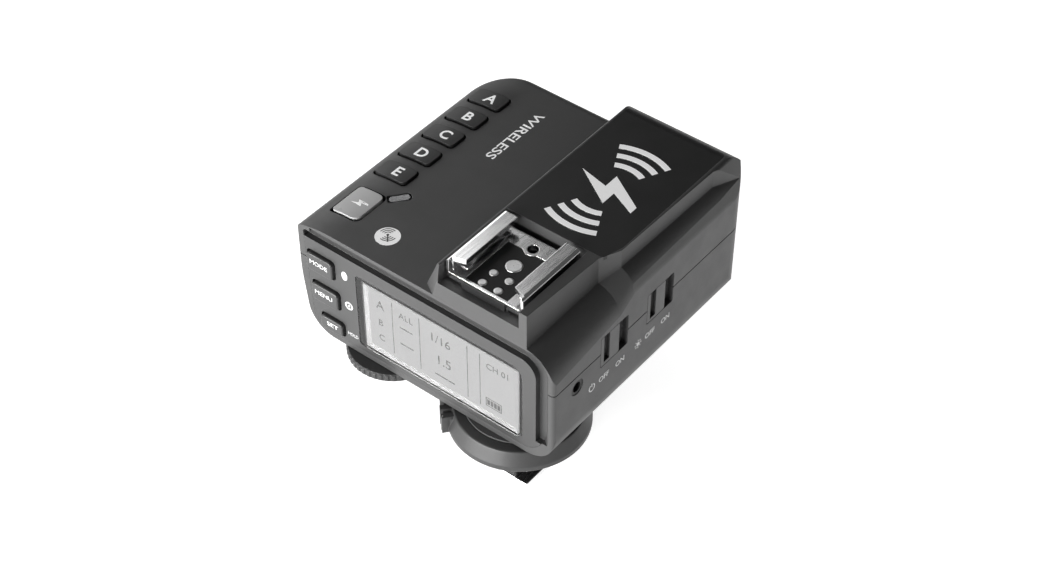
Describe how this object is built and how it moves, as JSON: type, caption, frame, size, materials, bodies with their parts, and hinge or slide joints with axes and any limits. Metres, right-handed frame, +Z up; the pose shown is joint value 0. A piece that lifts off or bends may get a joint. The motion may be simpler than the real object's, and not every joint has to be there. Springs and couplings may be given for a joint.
{
  "type": "wireless flash trigger",
  "caption": "Camera-top radio flash trigger with a rear display and keys, a thumb dial, side switches, a pass-through hot shoe and a locking shoe foot.",
  "frame": {"origin": "centre of the shoe foot's bottom face", "axes": "+X right as seen from behind, +Y forward towards the subject, the way the foot slides in, +Z up"},
  "size_m": [0.0725, 0.0769, 0.0583],
  "materials": {
    "housing_plastic": "fine matte texture",
    "cover_plastic": "semi-gloss",
    "panel_plastic": "smooth matte",
    "window_glass": "clear smoke",
    "lcd_glass": "satin",
    "light_guide": "frosted",
    "board_green": "solder mask",
    "part_black": "moulded",
    "can_metal": "tinned",
    "key_plastic": "fine matte",
    "test_key_plastic": "satin",
    "lamp_plastic": "frosted",
    "mat_rubber": "matte",
    "dial_plastic": "matte",
    "rail_steel": "polished",
    "screw_steel": "plated",
    "contact_gold": "plated",
    "contact_nickel": "plated",
    "insulator_plastic": "matte",
    "plate_steel": "satin",
    "cell_wrap": "printed sleeve",
    "spring_steel": "plated",
    "focus_plastic": "dark red, clear",
    "lamp_body": "clear red"
  },
  "bodies": {
    "housing": {"top_shell": "housing_plastic", "bottom_shell": "housing_plastic", "foot_base": "housing_plastic", "antenna_cover": "cover_plastic", "rear_panel": "panel_plastic", "display_window": "window_glass", "lcd_module": "lcd_glass", "lcd_backlight": "light_guide", "display_board": "board_green", "main_board": "board_green", "tact_switches": "part_black", "radio_module": "can_metal", "antenna": "board_green", "rear_key_mat": "mat_rubber", "group_key_mat": "mat_rubber", "status_lamp": "lamp_plastic", "dial_encoder": "can_metal", "slide_switches": "can_metal", "sync_jack": "part_black", "usb_socket": "can_metal", "shoe_rails": "rail_steel", "shoe_insulator": "insulator_plastic", "shoe_centre_contact": "contact_nickel", "shoe_small_contacts": "contact_nickel", "shoe_springs": "spring_steel", "shoe_screws": "screw_steel", "foot_block": "insulator_plastic", "foot_plate": "plate_steel", "foot_screws": "screw_steel", "door_hinge_pin": "screw_steel", "battery_cell_rear": "cell_wrap", "battery_cell_front": "cell_wrap", "battery_springs": "spring_steel", "battery_plates": "contact_nickel", "case_screws": "screw_steel", "focus_window": "focus_plastic", "focus_lamp": "lamp_body"},
    "mode_key": {"mode_key": "key_plastic"},
    "menu_key": {"menu_key": "key_plastic"},
    "set_key": {"set_key": "key_plastic"},
    "group_key_a": {"group_key_a": "key_plastic"},
    "group_key_b": {"group_key_b": "key_plastic"},
    "group_key_c": {"group_key_c": "key_plastic"},
    "group_key_d": {"group_key_d": "key_plastic"},
    "group_key_e": {"group_key_e": "key_plastic"},
    "test_key": {"test_key": "test_key_plastic"},
    "dial": {"select_dial": "dial_plastic", "dial_shaft": "screw_steel"},
    "power_knob": {"power_knob": "key_plastic"},
    "assist_knob": {"assist_knob": "key_plastic"},
    "lock_ring": {"lock_ring": "dial_plastic"},
    "clamp_pad": {"clamp_pad": "part_black"},
    "lock_pin": {"lock_pin": "plate_steel"},
    "centre_pin": {"foot_centre_pin": "contact_gold"},
    "pin_1": {"foot_pin_1": "contact_gold"},
    "pin_2": {"foot_pin_2": "contact_gold"},
    "pin_3": {"foot_pin_3": "contact_gold"},
    "pin_4": {"foot_pin_4": "contact_gold"},
    "battery_door": {"battery_door": "housing_plastic"}
  },
  "joints": [
    {"name": "mode_key_press", "type": "slide", "parent": "housing", "child": "mode_key", "axis": [0, 1, 0], "range_m": [0, 0.0006], "stiffness_N_per_m": 600, "springref_m": -0.0002},
    {"name": "menu_key_press", "type": "slide", "parent": "housing", "child": "menu_key", "axis": [0, 1, 0], "range_m": [0, 0.0006], "stiffness_N_per_m": 600, "springref_m": -0.0002},
    {"name": "set_key_press", "type": "slide", "parent": "housing", "child": "set_key", "axis": [0, 1, 0], "range_m": [0, 0.0006], "stiffness_N_per_m": 600, "springref_m": -0.0002},
    {"name": "group_key_a_press", "type": "slide", "parent": "housing", "child": "group_key_a", "axis": [0, 0, -1], "range_m": [0, 0.0006], "stiffness_N_per_m": 600, "springref_m": -0.0002},
    {"name": "group_key_b_press", "type": "slide", "parent": "housing", "child": "group_key_b", "axis": [0, 0, -1], "range_m": [0, 0.0006], "stiffness_N_per_m": 600, "springref_m": -0.0002},
    {"name": "group_key_c_press", "type": "slide", "parent": "housing", "child": "group_key_c", "axis": [0, 0, -1], "range_m": [0, 0.0006], "stiffness_N_per_m": 600, "springref_m": -0.0002},
    {"name": "group_key_d_press", "type": "slide", "parent": "housing", "child": "group_key_d", "axis": [0, 0, -1], "range_m": [0, 0.0006], "stiffness_N_per_m": 600, "springref_m": -0.0002},
    {"name": "group_key_e_press", "type": "slide", "parent": "housing", "child": "group_key_e", "axis": [0, 0, -1], "range_m": [0, 0.0006], "stiffness_N_per_m": 600, "springref_m": -0.0002},
    {"name": "test_key_press", "type": "slide", "parent": "housing", "child": "test_key", "axis": [0, 0, -1], "range_m": [0, 0.0006], "stiffness_N_per_m": 600, "springref_m": -0.0002},
    {"name": "dial_turn", "type": "hinge", "parent": "housing", "child": "dial", "pos_m": [-0.0342, -0.003, 0.015], "axis": [0, 0, 1], "continuous": true},
    {"name": "power_slide", "type": "slide", "parent": "housing", "child": "power_knob", "axis": [0, 1, 0], "range_m": [0, 0.0031]},
    {"name": "assist_slide", "type": "slide", "parent": "housing", "child": "assist_knob", "axis": [0, 1, 0], "range_m": [0, 0.0031]},
    {"name": "ring_turn", "type": "hinge", "parent": "housing", "child": "lock_ring", "pos_m": [0, 0, 0.0125], "axis": [0, 0, 1], "range_deg": [0, 60]},
    {"name": "pad_clamp", "type": "slide", "parent": "housing", "child": "clamp_pad", "axis": [0, 0, -1], "range_m": [0, 0.0019]},
    {"name": "lock_pin_drop", "type": "slide", "parent": "housing", "child": "lock_pin", "axis": [0, 0, -1], "range_m": [0, 0.0015]},
    {"name": "centre_pin_press", "type": "slide", "parent": "housing", "child": "centre_pin", "axis": [0, 0, 1], "range_m": [0, 0.0006], "stiffness_N_per_m": 600, "springref_m": -0.0002},
    {"name": "pin_1_press", "type": "slide", "parent": "housing", "child": "pin_1", "axis": [0, 0, 1], "range_m": [0, 0.0006], "stiffness_N_per_m": 600, "springref_m": -0.0002},
    {"name": "pin_2_press", "type": "slide", "parent": "housing", "child": "pin_2", "axis": [0, 0, 1], "range_m": [0, 0.0006], "stiffness_N_per_m": 600, "springref_m": -0.0002},
    {"name": "pin_3_press", "type": "slide", "parent": "housing", "child": "pin_3", "axis": [0, 0, 1], "range_m": [0, 0.0006], "stiffness_N_per_m": 600, "springref_m": -0.0002},
    {"name": "pin_4_press", "type": "slide", "parent": "housing", "child": "pin_4", "axis": [0, 0, 1], "range_m": [0, 0.0006], "stiffness_N_per_m": 600, "springref_m": -0.0002},
    {"name": "door_swing", "type": "hinge", "parent": "housing", "child": "battery_door", "pos_m": [-0.0223, 0.0543, 0.0164], "axis": [1, 0, 0], "range_deg": [0, 100]}
  ],
  "couplings": [
    {"joint": "pad_clamp", "follows": "ring_turn", "m_per_rad": 0.0018},
    {"joint": "lock_pin_drop", "follows": "ring_turn", "m_per_rad": 0.0014}
  ]
}
